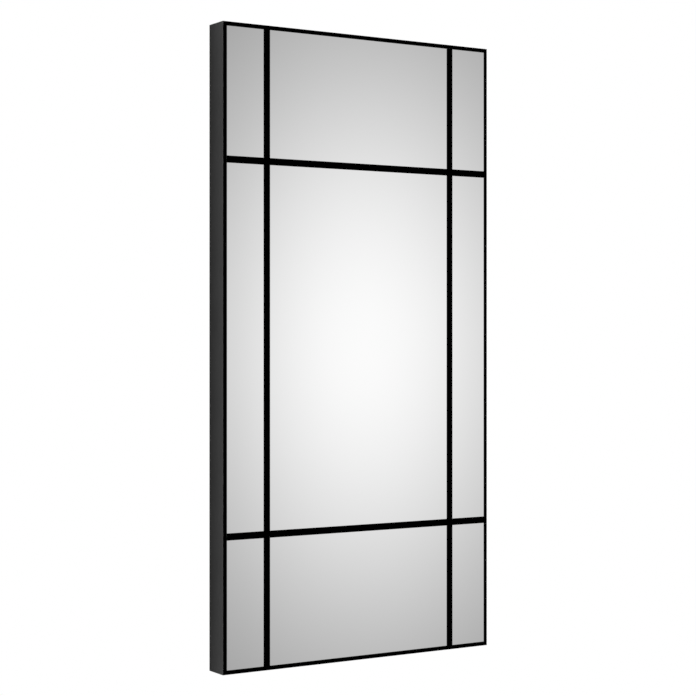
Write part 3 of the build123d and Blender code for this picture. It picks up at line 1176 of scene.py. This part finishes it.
@dataclass
class Studio:
    """Floor, glow, lights and surroundings, none of which belongs to the mirror."""

    photographer: Photographer
    dome_radius: float = 4.5
    dome_segments: int = 96
    dome_rings: int = 48
    dome_ends_at_y: float = -0.3
    glow_column: float = 365.0
    glow_row: float = 343.5
    glow_reach_px: float = 313.4
    glow_squeeze: float = 1.6585
    glow_gain: float = 0.722
    glow_base: float = 0.24
    glow_least: float = 0.34
    glow_rounding: float = 0.05
    pale_from: float = 1.7
    pale_gain: float = 0.5
    glass_reflectance: float = 0.93
    strip_gap: float = 0.06
    strip_width: float = 0.02
    strip_overhang: float = 0.12
    strip_watts_per_metre: float = 0.7
    floor_below: float = 0.9
    floor_side: float = 60.0
    surroundings: float = 0.09
    front_surroundings: float = 0.015
    front_to_back: Span = (-0.05, 0.7)

    def glow_centre(self) -> tuple[Vector, float]:
        """Find where the glow stands in front of the mirror.

        Returns:
            Its centre on the dome, and its distance from the camera by way of the glass.
        """
        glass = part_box("mirror_glass")[0].y
        start, way = self.photographer.line_of_sight(self.glow_column, self.glow_row)
        start.y = 2 * glass - start.y
        way.y = -way.y
        middle = (CAD_BOX[0] + CAD_BOX[1]) / 2
        offset = start - middle
        half = offset.dot(way)
        reach = -half + math.sqrt(half * half - offset.length_squared + self.dome_radius**2)
        return start + way * reach, reach

    def lobe(self, tree: Tree, place: Socket, spot: Vector, size: Triple) -> Socket:
        """Draw one soft oval of light.

        Args:
            tree: Node tree that it goes into.
            place: Where the light is read.
            spot: The oval's middle.
            size: How far it reaches along x, y and z.

        Returns:
            A value that is 1 in the middle and falls off all round.
        """
        shrink = tuple(1 / length for length in size)
        offset = add_node(tree, "VectorMath", {0: place, 1: spot}, SUBTRACT)
        scaled = add_node(tree, "VectorMath", {0: offset, 1: shrink}, MULTIPLY)
        dot = {"operation": "DOT_PRODUCT"}
        squared = add_node(tree, "VectorMath", {0: scaled, 1: scaled}, dot, output="Value")
        fall = add_node(tree, "Math", {0: squared, 1: -1.0}, MULTIPLY)
        return add_node(tree, "Math", {0: fall}, {"operation": "EXPONENT"})

    def glow_strength(self, tree: Tree) -> Socket:
        """Draw the glow that the photograph shows, and one ahead and one across for other views.

        Args:
            tree: Node tree that it goes into.

        Returns:
            The strength of the dome's light.
        """
        middle = (CAD_BOX[0] + CAD_BOX[1]) / 2
        centre, reach = self.glow_centre()
        tall = self.glow_reach_px / self.photographer.focal_px * reach
        wide = tall / self.glow_squeeze
        ahead = Vector((middle.x, middle.y - self.dome_radius, centre.z))
        across = Vector((2 * middle.x - centre.x, centre.y, centre.z))
        place = here(tree)
        lit: Socket | float = self.glow_base
        for spot in (centre, ahead, across):
            terms = {
                0: self.lobe(tree, place, spot, (wide, wide, tall)),
                1: self.glow_gain,
                2: lit,
            }
            lit = add_node(tree, "Math", terms, {"operation": "MULTIPLY_ADD"})
        least = {0: lit, 1: self.glow_least, 2: self.glow_rounding}
        level = add_node(tree, "Math", least, {"operation": "SMOOTH_MAX"})
        height = add_node(tree, "SeparateXYZ", {0: place}, output="Z")
        away = add_node(tree, "Math", {0: height, 1: middle.z}, SUBTRACT)
        apart = add_node(tree, "Math", {0: away}, {"operation": "ABSOLUTE"})
        ends = {0: apart, 1: self.pale_from, 2: self.dome_radius, 3: 0.0, 4: self.pale_gain}
        pale = add_node(tree, "MapRange", ends, {"interpolation_type": "SMOOTHSTEP"})
        total = add_node(tree, "Math", {0: level, 1: pale}, ADD)
        share = {0: total, 1: self.glass_reflectance}
        return add_node(tree, "Math", share, {"operation": "DIVIDE"})

    def build_glow(self) -> None:
        """Make the lit half dome that only the glass reflects."""
        pick_none()
        bpy.ops.mesh.primitive_uv_sphere_add(
            segments=self.dome_segments,
            ring_count=self.dome_rings,
            radius=self.dome_radius,
            location=(CAD_BOX[0] + CAD_BOX[1]) / 2,
        )
        dome = piece_in_hand()
        dome.name = "studio_dome"
        bpy.ops.object.transform_apply(location=True)
        bpy.ops.object.mode_set(mode="EDIT")
        bpy.ops.mesh.select_all(action="SELECT")
        bpy.ops.mesh.bisect(
            plane_co=(0, self.dome_ends_at_y, 0), plane_no=(0, 1, 0), clear_outer=True
        )
        bpy.ops.object.mode_set(mode="OBJECT")
        material = bare_material("studio_glow")
        tree = material.node_tree
        light = add_node(tree, "Emission", {"Strength": self.glow_strength(tree)})
        add_node(tree, "OutputMaterial", {"Surface": light})
        dome.data.materials.append(material)
        hide_from(dome, "camera", "diffuse", "transmission", "volume_scatter", "shadow")
        receivers = bpy.data.collections.new("glow_receivers")
        receivers.objects.link(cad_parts["mirror_glass"])
        dome.light_linking.receiver_collection = receivers
        dome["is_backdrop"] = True

    def build_floor(self) -> None:
        """Make the plain pale floor, which the camera alone sees, and only from above."""
        pick_none()
        level = CAD_BOX[0].z - self.floor_below
        bpy.ops.mesh.primitive_plane_add(size=self.floor_side, location=(0, 0, level))
        floor = piece_in_hand()
        floor.name = "studio_floor"
        material = bare_material("studio_floor_white")
        tree = material.node_tree
        pale = add_node(tree, "Emission", {"Color": linear(WHITE), "Strength": 1.0})
        clear = add_node(tree, "BsdfTransparent")
        under = add_node(tree, "NewGeometry", output="Backfacing")
        shown = add_node(tree, "MixShader", {0: under, 1: pale, 2: clear})
        add_node(tree, "OutputMaterial", {"Surface": shown})
        floor.data.materials.append(material)
        hide_from(floor, "diffuse", "glossy", "transmission", "volume_scatter", "shadow")
        floor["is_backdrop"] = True

    def area_light(self, name: str, place: Vector, aim: Vector, size: Span, watts: float) -> Piece:
        """Hang a soft rectangular light.

        Args:
            name: What the light is called.
            place: Its middle.
            aim: A point that it looks at.
            size: Its width, and its length, which stands upright where it can.
            watts: Its power.

        Returns:
            The light.
        """
        way = (aim - place).normalized()
        bpy.ops.object.light_add(type="AREA", location=place)
        lamp = piece_in_hand()
        lamp.name = name
        lamp.rotation_mode = "QUATERNION"
        lamp.rotation_quaternion = way.to_track_quat("-Z", "Y")
        lamp.data.shape = "RECTANGLE"
        lamp.data.size, lamp.data.size_y = size
        lamp.data.energy = watts
        lamp.visible_camera = False
        return lamp

    def light_sides(self) -> None:
        """Stand a strip light beside each outer face, just behind the plane of the front."""
        low, high = CAD_BOX
        middle = (low + high) / 2
        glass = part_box("mirror_glass")[0].y
        for side in Side:
            across, up = side.value
            span = (high.z - low.z if across else high.x - low.x) + 2 * self.strip_overhang
            face = Vector(
                (
                    middle.x + across * (high.x - low.x) / 2,
                    glass + self.strip_width / 2,
                    middle.z + up * (high.z - low.z) / 2,
                )
            )
            place = face + Vector((across, 0, up)) * self.strip_gap
            size = (span, self.strip_width) if up else (self.strip_width, span)
            watts = self.strip_watts_per_metre * span
            self.area_light(f"strip_{side.name.lower()}", place, face, size, watts)

    def light_back(self) -> None:
        """Light the board and the steel from both sides, and the frame from straight behind."""
        middle = (CAD_BOX[0] + CAD_BOX[1]) / 2
        inside = bpy.data.collections.new("lit_from_the_sides")
        outside = bpy.data.collections.new("lit_from_straight_behind")
        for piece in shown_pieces():
            (outside if piece.name in FRAME_LENGTHS else inside).objects.link(piece)
        for lamp in BACK_LAMPS:
            place = middle + Vector(lamp.offset)
            light = self.area_light(lamp.name, place, middle, lamp.size, lamp.watts)
            light.light_linking.receiver_collection = outside if lamp.on_frame else inside

    def light_surroundings(self) -> None:
        """Make the surroundings white to the camera, dim in front and soft grey behind."""
        world = bpy.data.worlds.new("studio_surroundings")
        bpy.context.scene.world = world
        world.use_nodes = True
        tree = world.node_tree
        tree.nodes.clear()
        way = add_node(tree, "TexCoord", output="Generated")
        back = add_node(tree, "SeparateXYZ", {0: way}, output="Y")
        start, end = self.front_to_back
        limits = {0: back, 1: start, 2: end, 3: self.front_surroundings, 4: self.surroundings}
        shade = add_node(tree, "MapRange", limits)
        seen = add_node(tree, "LightPath", output="Is Camera Ray")
        strength = add_node(tree, "Mix", {0: seen, 2: shade, 3: 1.0})
        sky = add_node(tree, "Background", {"Color": linear(WHITE), "Strength": strength})
        add_node(tree, "OutputWorld", {"Surface": sky})

    def build(self) -> None:
        """Set the whole studio up."""
        self.photographer.shoot()
        self.light_surroundings()
        self.light_sides()
        self.light_back()
        self.build_glow()
        self.build_floor()
        scene = bpy.context.scene
        scene.view_settings.view_transform = "Standard"
        scene.view_settings.look = "None"


def main() -> None:
    """Build and dress the mirror in order, set up the studio and report each piece."""
    logging.basicConfig(level=logging.INFO, format="%(name)s: %(message)s")
    hangers = [Hanger(side) for side in (Side.LEFT, Side.RIGHT)]
    front = [BoxFrame(), Pane(), BarGrid()]
    behind = [CornerJoints(), SpringClips(), *hangers, WallPads()]
    for part in front + behind:
        part.build()
        part.dress()
        LOG.info("%s is dressed", type(part).__name__)
    Studio(Photographer()).build()
    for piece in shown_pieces():
        LOG.info("%s: %s", piece.name, piece.data.materials[0].name)


if __name__ == "__main__":
    main()
